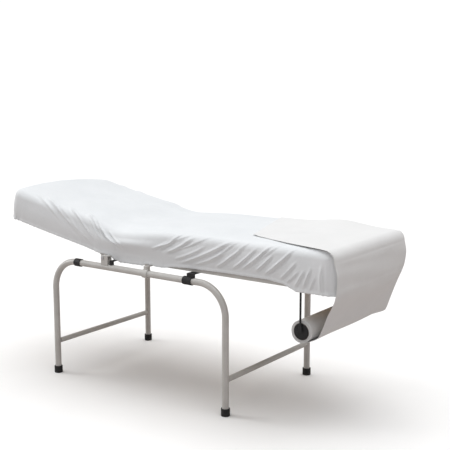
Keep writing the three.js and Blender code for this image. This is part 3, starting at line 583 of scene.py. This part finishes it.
def build_cover():
    random = np.random.default_rng(11)
    x, y, nx, ny = outline_stations().T
    run = np.concatenate([[0], np.cumsum(np.hypot(np.diff(x), np.diff(y)))])
    hem = hem_height(x)
    px, py, pz, q, normal_out, normal_up = cover_sections(x, y, nx, ny, hem)
    X, Y, RUN, HEM = (np.broadcast_to(values, q.shape) for values in (x, y, run, hem))
    push = fold_push(random, X, Y, nx, ny, q)

    # The side bulges over the hinge, and turns in below, where the cover is drawn together.
    swell = np.exp(-(((X - (HINGE.x + 0.13)) / 0.19) ** 2)) * (np.abs(ny) > 0.5)
    bulge = 0.014 * np.exp(-(((q - 0.705) / 0.030) ** 2))
    undercut = 0.003 * np.exp(-(((q - 0.645) / 0.02) ** 2))
    push += swell * (bulge - undercut)

    # Gathers of the elastic: short ripples that die out upwards, stronger round the corners.
    seeds = random.uniform(0, 6.28, 12)
    height_over_hem = np.clip(q - HEM, 0, None)
    corner = np.minimum(1, (1 - np.maximum(np.abs(nx), np.abs(ny))) * 6)
    near_corner = np.maximum(corner, np.exp(-(((np.abs(x - (FOOT_END + HEAD_END) / 2) - 0.87) / 0.05) ** 2)))
    strength = 0.0007 + 0.0016 * near_corner + 0.0008 * swell[-1]
    gathers = wavy(RUN, 2 * math.pi / 0.026, seeds[0:3]) * np.exp(-height_over_hem / 0.022)
    long_gathers = wavy(RUN, 2 * math.pi / 0.055, seeds[3:6]) * np.exp(-height_over_hem / 0.06)
    push += strength * gathers + 0.6 * strength * long_gathers
    casing = np.exp(-(((q - HEM - 0.006) / 0.0045) ** 2)) * (normal_out > 0.5)
    push += 0.0014 * casing * (1 + 0.5 * np.sin(RUN * 2 * math.pi / 0.0095 + 1.3 * np.sin(RUN * 41)))

    # Slackness of the thin fabric, over the whole surface.
    slack = 0.0013 * wavy(px + q * 0.7, 19, seeds[6:9]) * wavy(py - q * 0.8, 23, seeds[8:11])
    push += slack * smooth((q - HEM) / 0.05)
    clear = smooth((np.abs(X - HINGE.x) - 0.07) / 0.03)
    deepest = np.where(q < 0.70, -0.0008 - 0.0010 * clear, -0.002)
    push = np.maximum(push, deepest)
    push *= smooth((q - (HEM - 0.02)) / 0.02)

    points = np.stack([
        px + push * normal_out * nx,
        py + push * normal_out * ny,
        pz + push * normal_up,
    ], -1).reshape(-1, 3)
    faces = grid_faces(*q.shape, closed_columns=True)
    piece = add_piece("fitted_cover", bent(points), faces, "cover_fabric")
    piece.modifiers.new("weld", "WELD").merge_threshold = WELD_DISTANCE
    freeze(piece)
    shell = piece.modifiers.new("thickness", "SOLIDIFY")
    shell.thickness = COVER_THICKNESS
    shell.offset = -1
    shell.use_even_offset = False
    return freeze(piece)


# ------------------------------------------------------------------ mattress pads
PAD_CORNER = 0.06  # plan radius of the outer corners
PAD_ROUND = 0.04  # radius of the upper edges
PAD_SIDE_GAP = 0.013
PAD_END_GAP = 0.010
PAST_HINGE = 0.006  # how far either pad is drawn past the hinge, before its end gap
HINGE_CORNER = 0.006  # plan radius of the corners at the hinge
VOXEL = 0.012
CLOTH_FRAMES = 14
CLOTH_PRESSURE = 3
CLOTH_MOVE = 0.004  # the most that the cloth step may move a point


def pad_plan(x0, x1, r0, r1):
    """The four corners of a pad's outline, from its lowest x and y round."""
    x0, x1, y = x0 + PAD_END_GAP, x1 - PAD_END_GAP, HALF_WIDTH - PAD_SIDE_GAP
    return [((x0 + r0, -y + r0), math.pi, r0), ((x1 - r1, -y + r1), -math.pi / 2, r1),
            ((x1 - r1, y - r1), 0, r1), ((x0 + r0, y - r0), math.pi / 2, r0)]


def build_pad(name, node, plan_corners, low_z, high_z):
    """A foam pad: a rounded block that is remeshed, blown up a little as cloth, then smoothed."""
    z0, z1 = low_z + 0.001, high_z - 0.007
    plan = []
    for centre, start, radius in plan_corners:
        for k in range(7):
            a = start + math.pi / 2 * k / 6
            plan.append((centre[0] + radius * math.cos(a), centre[1] + radius * math.sin(a)))
    count = len(plan)
    points = [(px, py, z) for z in (z0, z1) for px, py in plan]
    faces = [tuple(range(count))[::-1], tuple(range(count, 2 * count))]
    faces += [(k, (k + 1) % count, (k + 1) % count + count, k + count) for k in range(count)]
    piece = add_piece(name, points, faces, "upholstery")
    remesh = piece.modifiers.new("remesh", "REMESH")
    remesh.mode, remesh.voxel_size = "VOXEL", VOXEL
    freeze(piece)
    # The upper edges are rounded, except at the hinge.
    co = coordinates(piece)
    outer_x = max((centre[0] + np.sign(centre[0]) * radius for centre, _, radius in plan_corners), key=abs)
    gap_x, gap_y = np.abs(outer_x - co[:, 0]), HALF_WIDTH - PAD_SIDE_GAP - np.abs(co[:, 1])
    short_x, short_y = (np.clip(PAD_CORNER - gap, 0, None) for gap in (gap_x, gap_y))
    corner = PAD_CORNER - np.hypot(short_x, short_y)
    inside = np.clip(PAD_ROUND - np.minimum(np.minimum(gap_x, gap_y), corner), 0, PAD_ROUND)
    drop = PAD_ROUND - np.sqrt(PAD_ROUND**2 - inside**2)
    co[:, 2] = z0 + (co[:, 2] - z0) * (z1 - z0 - drop) / (z1 - z0)
    move_to(piece, co)
    start = coordinates(piece)
    cloth = piece.modifiers.new("cloth", "CLOTH")
    cloth.settings.use_pressure = True
    cloth.settings.uniform_pressure_force = CLOTH_PRESSURE
    cloth.settings.effector_weights.gravity = 0
    cloth.settings.quality = 4
    cloth.collision_settings.use_collision = False
    cloth.point_cache.frame_start, cloth.point_cache.frame_end = 1, CLOTH_FRAMES
    for number in range(1, CLOTH_FRAMES + 1):
        bpy.context.scene.frame_set(number)
    freeze(piece)
    bpy.context.scene.frame_set(1)
    move = coordinates(piece) - start
    size = np.linalg.norm(move, axis=1, keepdims=True)
    now = start + move * np.minimum(1, CLOTH_MOVE / np.maximum(size, 1e-9))
    now[:, 2] = np.clip(now[:, 2], low_z + 0.0003, high_z - 0.0045)
    now[:, 1] = np.clip(now[:, 1], -HALF_WIDTH + 0.010, HALF_WIDTH - 0.010)
    move_to(piece, now)
    piece.modifiers.new("finer", "SUBSURF").levels = 1
    freeze(piece)
    co = coordinates(piece)
    co[:, 2] -= 0.002 * np.exp(-(((co[:, 0] - HINGE.x) / 0.2) ** 2)) * smooth((co[:, 2] - 0.72) / 0.05)
    move_to(piece, bent(co))
    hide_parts(node)
    return piece


# ------------------------------------------------------------------ paper
PAPER_WIDTH = ROLL_HI.y - ROLL_LO.y
PAPER_THICKNESS = 0.0007
PAPER_EDGE = 0.044  # radius of the bends over the foot end and the far edge
TOP_RUN = 0.66  # length of the drawn line along the top, before the slanted tear
TEAR_BACK = 0.477  # how far from the foot end the tear starts, at the near edge
TEAR_SLANT = 0.40
# The loose stretch between the roll and the foot end, as (x from the roll's centre, z).
BELLY = [
    (0.048, 0.394), (0.070, 0.405), (0.086, 0.422), (0.096, 0.443),
    (0.106, 0.468), (0.1237, 0.507), (0.145, 0.543), (0.1615, 0.575),
]  # fmt: skip
FAR_BELLY = [
    (0.044, 0.3885), (0.062, 0.3935), (0.084, 0.404), (0.0937, 0.423),
    (0.1090, 0.466), (0.1235, 0.507), (0.1370, 0.543), (0.1490, 0.575),
]  # fmt: skip
# The stretch up the foot end, as (x outside the foot end, z).
FACE = [(0.007, 0.605), (0.0107, 0.640), (0.0120, 0.680), (0.0090, 0.725)]
FAR_FACE = [(-0.0030, 0.605), (0.0070, 0.640), (0.0120, 0.680), (0.0090, 0.725)]
LEAVES_ROLL = -1.1  # the angle on the roll, from +X, where the paper leaves it


def through(controls, count):
    """Points of a smooth curve through the control points, at equal steps along it."""
    controls = np.array(controls, float)
    padded = np.vstack([2 * controls[0] - controls[1], controls, 2 * controls[-1] - controls[-2]])
    curve = []
    for k in range(len(controls) - 1):
        p0, p1, p2, p3 = padded[k:k + 4]
        for t in np.linspace(0, 1, 12, endpoint=False):
            square = (2 * p0 - 5 * p1 + 4 * p2 - p3) * t**2
            cube = (3 * p1 - p0 - 3 * p2 + p3) * t**3
            curve.append(0.5 * (2 * p1 + (p2 - p0) * t + square + cube))
    curve = np.array(curve + [controls[-1]])
    run = np.concatenate([[0], np.cumsum(np.linalg.norm(np.diff(curve, axis=0), axis=1))])
    places = np.linspace(0, run[-1], count)
    return np.stack([np.interp(places, run, curve[:, 0]), np.interp(places, run, curve[:, 1])], -1)


ON_ROLL, LOOSE, ON_END, ROUND_EDGE, ON_TOP = 12, 46, 30, 14, 111  # points along each stretch


def paper_path(belly, face):
    """A long line of the loose end: off the roll's underside, up the foot end, back along the top."""
    centre = np.array([ROLL_CENTRE.x, ROLL_CENTRE.z])
    wound = ROLL_RADIUS + 0.0009
    angles = np.linspace(-2.75, LEAVES_ROLL, ON_ROLL, endpoint=False)
    on_roll = centre + wound * np.stack([np.cos(angles), np.sin(angles)], -1)
    last = centre + wound * np.array([math.cos(LEAVES_ROLL), math.sin(LEAVES_ROLL)])
    out, top_z = FOOT_END + 0.0060, TOP + 0.0024
    face = [(FOOT_END + x, z) for x, z in face]
    loose = through([last, *[(centre[0] + x, z) for x, z in belly], face[0]], LOOSE + 1)[:-1]
    face = through([*face, (out, top_z - PAPER_EDGE)], ON_END + 1)[:-1]
    turn = np.linspace(0, math.pi / 2, ROUND_EDGE, endpoint=False)
    bend_x, bend_z = out - PAPER_EDGE * (1 - np.cos(turn)), top_z - PAPER_EDGE * (1 - np.sin(turn))
    bend = np.stack([bend_x, bend_z], -1)
    top_x = np.linspace(out - PAPER_EDGE, out - PAPER_EDGE - TOP_RUN, ON_TOP)
    top = np.stack([top_x, np.full(ON_TOP, top_z)], -1)
    return np.concatenate([on_roll, loose, face, bend, top])


def build_paper():
    random = np.random.default_rng(5)
    path, far_path = paper_path(BELLY, FACE), paper_path(FAR_BELLY, FAR_FACE)
    rows, columns = len(path), 96
    row = np.arange(rows)
    b = np.linspace(0, 1, columns)
    x0, z0 = path[:, 0], path[:, 1]
    leave_row, top_row = ON_ROLL + LOOSE, ON_ROLL + LOOSE + ON_END + ROUND_EDGE
    to_far = smooth((b - 0.82) / 0.18)[None, :]
    flat_x, Z = (path[:, k, None] + (far_path - path)[:, k, None] * to_far for k in (0, 1))

    # The paper is torn off on a slant, and its last row frays a little.
    fray = 0.0012 * (np.sin(np.arange(columns) * 2.1) + np.sin(np.arange(columns) * 0.77 + 1))
    last = FOOT_END - TEAR_BACK - TEAR_SLANT * (b * PAPER_WIDTH) + fray
    span = (x0[top_row] - x0) / (x0[top_row] - x0[-1])
    slanted = x0[top_row] + (last[None, :] - x0[top_row]) * span[:, None]
    X = np.where((row >= top_row)[:, None], slanted, flat_x)

    # The near edge stands past the corner on the end face, then wanders away from the side along the top.
    back = np.clip(FOOT_END - X, 0, None) * (row >= top_row - 10)[:, None]
    further = np.clip(back - 0.06, 0, None)
    drift = 0.012 * smooth(back / 0.10) + 0.19 * further + 0.22 * further**2
    rise = (smooth((z0 - 0.46) / 0.12) * (row > ON_ROLL))[:, None]
    Y = -PAPER_WIDTH / 2 - 0.021 * rise + drift + (PAPER_WIDTH + 0.024 * rise) * b[None, :]

    # Loose waves on the top, a lift along the far edge, and soft bends of the end face.
    seeds = random.uniform(0, 6.28, 9)
    on_top = smooth((row - top_row + 4) / 8)[:, None]
    wave = 0.0013 * wavy(X, 21, seeds[0:3]) * wavy(Y, 17, seeds[3:6])
    far_lift = 0.020 * np.exp(-(((X - SHIFT - 0.62) / 0.13) ** 2)) * smooth((Y - 0.06) / 0.22)
    corner_curl = 0.004 * np.exp(-(((X - last.max()) / 0.03) ** 2 + ((Y + 0.21) / 0.04) ** 2))
    Z = Z + on_top * (np.abs(wave) + far_lift + corner_curl + 0.0006)
    free = (smooth((row - ON_ROLL) / 10) * smooth((leave_row - row) / 10))[:, None]
    X = X + free * 0.003 * np.sin(Y * 13 + 1)
    upright = (smooth((row - leave_row) / 6) * smooth((leave_row + ON_END - row) / 8))[:, None]
    X = X + upright * (0.0016 * np.sin(Y * 15 + 2) + 0.0010 * np.sin(Z * 70 + Y * 9))
    # At the top edge the paper gives way to the rounded corners.
    past = np.clip(np.abs(Y) - (HALF_WIDTH - CORNER_RADIUS), 0, CORNER_RADIUS)
    near_edge = (smooth((row - leave_row - 14) / 16) * smooth((top_row + 10 - row) / 10))[:, None]
    X = X - near_edge * 0.35 * (CORNER_RADIUS - np.sqrt(CORNER_RADIUS**2 - past**2 * 0.9))

    # Where the top runs out, the paper bends down over the far edge.
    limit = HALF_WIDTH - 0.040
    over = np.clip(Y - limit, 0, None) * on_top
    a = np.clip(over / PAPER_EDGE, 0, math.pi / 2)
    hang = np.clip(over - PAPER_EDGE * math.pi / 2, 0, None)
    Y = np.where(over > 0, limit + PAPER_EDGE * np.sin(a) + hang * 0.05, Y)
    Z = Z - np.where(over > 0, PAPER_EDGE * (1 - np.cos(a)) + hang, 0)

    points = np.stack([X, Y, Z], -1).reshape(-1, 3)
    piece = add_piece("paper_web", points, grid_faces(rows, columns), "tissue_paper", "base")
    modifier = piece.modifiers.new("thickness", "SOLIDIFY")
    modifier.thickness, modifier.offset = PAPER_THICKNESS, 0
    freeze(piece)
    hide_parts("paper_sheet")


def build_roll():
    """The wound paper: a smooth outside and ends that step in and out with the layers."""
    around, profile = 160, []
    half = (ROLL_HI.y - ROLL_LO.y) / 2
    core = (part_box("paper_core")[1].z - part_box("paper_core")[0].z) / 2 + 0.0003
    layers = 14
    radii = np.linspace(core, ROLL_RADIUS, layers * 2 + 1)
    for sign in (-1, 1):
        for k, r in enumerate(radii if sign < 0 else radii[::-1]):
            edge = k if sign < 0 else len(radii) - 1 - k
            inset = 0.0009 * (edge % 2) + 0.0006 * math.sin(edge * 1.9) ** 2
            if edge in (0, len(radii) - 1):
                inset = 0.0008
            profile.append((r, sign * (half - inset)))
        if sign < 0:
            profile += [(ROLL_RADIUS, y) for y in np.linspace(-half * 0.96, half * 0.96, 25)]
    profile += [(core, half * 0.9), (core, -half * 0.9)]
    random = np.random.default_rng(3)
    phase = random.uniform(0, 6.28, 3)
    points = []
    for r, y in profile:
        for k in range(around):
            a = 2 * math.pi * k / around
            spiral = 0.0003 * math.sin(a + phase[0]) * (r > core + 0.001)
            rr = min(r + spiral, ROLL_RADIUS)
            points.append((ROLL_CENTRE.x + rr * math.cos(a), y, ROLL_CENTRE.z + rr * math.sin(a)))
    faces = grid_faces(len(profile), around, closed_rows=True, closed_columns=True)
    piece = add_piece("paper_roll_wound", points, faces, "tissue_paper", "paper_roll")
    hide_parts("paper_roll")


def build_core():
    """The cardboard tube, with rounded rims."""
    lo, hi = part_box("paper_core")
    outer, wall, half = (hi.z - lo.z) / 2, 0.0025, (hi.y - lo.y) / 2
    rim = 0.0008
    inner = outer - wall
    profile = [(outer, -half + rim), (outer, half - rim), (outer - rim, half), (inner + rim, half),
               (inner, half - rim), (inner, -half + rim), (inner + rim, -half), (outer - rim, -half)]
    around = 128
    angles = [2 * math.pi * k / around for k in range(around)]
    points = [
        (ROLL_CENTRE.x + r * math.cos(a), y, ROLL_CENTRE.z + r * math.sin(a))
        for r, y in profile for a in angles
    ]
    faces = grid_faces(len(profile), around, closed_rows=True, closed_columns=True)
    piece = add_piece("paper_core_tube", points, faces, "cardboard", "paper_roll")
    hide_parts("paper_core")


# ------------------------------------------------------------------ side hoops
HOOP_BEND = 0.14  # radius of the two bends, to the tube's middle


def build_hoop(side):
    """One bent tube: up a leg, along the rail and down the other leg."""
    lo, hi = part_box(f"side_hoop_{side}")
    radius = (hi.y - lo.y) / 2
    y = (lo.y + hi.y) / 2
    x0, x1 = lo.x + radius, hi.x - radius
    rail_z, low = hi.z - radius, lo.z
    bend = HOOP_BEND
    turn = np.linspace(0, math.pi / 2, 30)
    path = [(x0, low), (x0, low + 0.002)]
    path += [(x0, z) for z in np.linspace(low + 0.03, rail_z - bend - 0.02, 8)]
    path += [(x0 + bend - bend * math.cos(a), rail_z - bend + bend * math.sin(a)) for a in turn]
    path += [(x, rail_z) for x in np.linspace(x0 + bend + 0.02, x1 - bend - 0.02, 12)]
    path += [(x1 - bend + bend * math.sin(a), rail_z - bend + bend * math.cos(a)) for a in turn]
    path += [(x1, z) for z in np.linspace(rail_z - bend - 0.02, low + 0.03, 8)]
    path += [(x1, low + 0.002), (x1, low)]
    path = np.array(path)
    tangent = np.gradient(path, axis=0)
    tangent /= np.linalg.norm(tangent, axis=1, keepdims=True)
    around = 40
    points = []
    for (px, pz), (tx, tz) in zip(path, tangent):
        for k in range(around):
            a = 2 * math.pi * k / around
            out, across = radius * math.cos(a), radius * math.sin(a)
            points.append((px - tz * out, y + across, pz + tx * out))
    faces = grid_faces(len(path), around, closed_columns=True)
    faces = [face[::-1] for face in faces]
    first = list(range(around))
    last = [len(points) - around + k for k in range(around)]
    faces += [first, last[::-1]]
    piece = add_piece(f"hoop_tube_{side}", points, faces, "painted_steel", "base")
    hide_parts(f"side_hoop_{side}")


# ------------------------------------------------------------------ CAD nodes that stay
SLOT_OF = {
    "plywood": ("seat_board", "backrest_board"),
    "black_rubber": ("foot_cap",),
    "black_plastic": ("rail_sleeve", "foot_saddle", "rail_buffer", "roll_hub"),
    "black_steel": ("roll_arm", "arm_mount", "ratchet_sleeve"),
    "zinc_steel": ("hinge_pin", "arm_pin", "ratchet_bar", "ratchet_pin"),
}


def finish_node(name, node):
    """Material, smooth shading and small bevels for a node that is kept from the CAD."""
    slot = next((s for s, starts in SLOT_OF.items() if name.startswith(starts)), "painted_steel")
    node.data.materials.clear()
    node.data.materials.append(MATERIALS[slot])
    node.data.polygons.foreach_set("use_smooth", [True] * len(node.data.polygons))
    joined = node.modifiers.new("joined", "WELD")
    joined.merge_threshold = WELD_DISTANCE
    edges = node.modifiers.new("edges", "BEVEL")
    edges.width, edges.segments = 0.0009, 2
    edges.limit_method, edges.angle_limit = "ANGLE", 40 * RAD
    edges.harden_normals = False
    shading = node.modifiers.new("shading", "WEIGHTED_NORMAL")
    shading.keep_sharp = False


# ------------------------------------------------------------------ build
cover = build_cover()
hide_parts("seat_cover", "backrest_cover")
pad_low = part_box("seat_pad")[0].z
seat_plan = pad_plan(HINGE.x - PAST_HINGE, FOOT_END, HINGE_CORNER, PAD_CORNER)
back_plan = pad_plan(HEAD_END, HINGE.x + PAST_HINGE, PAD_CORNER, HINGE_CORNER)
seat_pad = build_pad("mattress_seat", "seat_pad", seat_plan, pad_low, TOP)
back_pad = build_pad("mattress_back", "backrest_pad", back_plan, pad_low, TOP)
for piece in (cover, seat_pad, back_pad):
    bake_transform(piece)
build_roll()
build_core()
build_paper()
for side in ("near", "far"):
    build_hoop(side)
for name, node in frame["nodes"].items():
    if not node.hide_render:
        finish_node(name, node)

# ------------------------------------------------------------------ stage and light
floor_mesh = bpy.data.meshes.new("floor")
floor_mesh.from_pydata([(-30, -30, 0), (30, -30, 0), (30, 30, 0), (-30, 30, 0)], [], [(0, 1, 2, 3)])
floor = bpy.data.objects.new("floor", floor_mesh)
bpy.context.scene.collection.objects.link(floor)
floor_shader = Shader("floor", 0.9)
floor_tint = floor_shader.noise(3, 2)
floor_shader.colour(floor_shader.ramp(floor_tint, [(0.3, (0.94, 0.93, 0.92)), (0.7, (0.96, 0.95, 0.94))]))
floor_mesh.materials.append(floor_shader.material)


def look_apart(tree, output, unseen, seen):
    """The camera's rays meet one shader, and all other rays the other."""
    rays = tree.nodes.new("ShaderNodeLightPath")
    chosen = tree.nodes.new("ShaderNodeMixShader")
    tree.links.new(rays.outputs["Is Camera Ray"], chosen.inputs["Fac"])
    tree.links.new(unseen, chosen.inputs[1])
    tree.links.new(seen, chosen.inputs[2])
    tree.links.new(chosen.outputs["Shader"], tree.nodes[output].inputs["Surface"])


# What the floor throws back up on the couch is dimmer than the floor looks.
dim = floor_shader.tree.nodes.new("ShaderNodeBsdfDiffuse")
dim.inputs["Color"].default_value = (0.52, 0.475, 0.455, 1)
look_apart(floor_shader.tree, "Material Output", dim.outputs["BSDF"], floor_shader.shader.outputs["BSDF"])

# The world lights the couch dimly, and looks white to the camera.
world = bpy.data.worlds.new("studio")
world.use_nodes = True
bpy.context.scene.world = world
tree = world.node_tree
ambient = tree.nodes["Background"]
ambient.inputs["Color"].default_value = (0.94, 0.97, 1.0, 1)
ambient.inputs["Strength"].default_value = 0.26
ground = tree.nodes.new("ShaderNodeBackground")
ground.inputs["Color"].default_value = (1, 1, 1, 1)
ground.inputs["Strength"].default_value = 1.05
look_apart(tree, "World Output", ambient.outputs["Background"], ground.outputs["Background"])


def sun(name, towards, strength, spread):
    """Soft light from one side of the sky, alike all over the floor."""
    light = bpy.data.lights.new(name, "SUN")
    light.energy, light.angle = strength, spread
    lamp = bpy.data.objects.new(name, light)
    lamp.rotation_euler = Vector(towards).to_track_quat("-Z", "Y").to_euler()
    bpy.context.scene.collection.objects.link(lamp)


sun("overhead", (0.05, -0.12, -1.0), 2.55, 76 * RAD)
sun("side", (0.90, 0.30, -0.38), 0.9, 24 * RAD)
sun("fill", (-0.5, 0.6, -0.35), 0.3, 60 * RAD)
bpy.context.scene.view_settings.view_transform = "Standard"
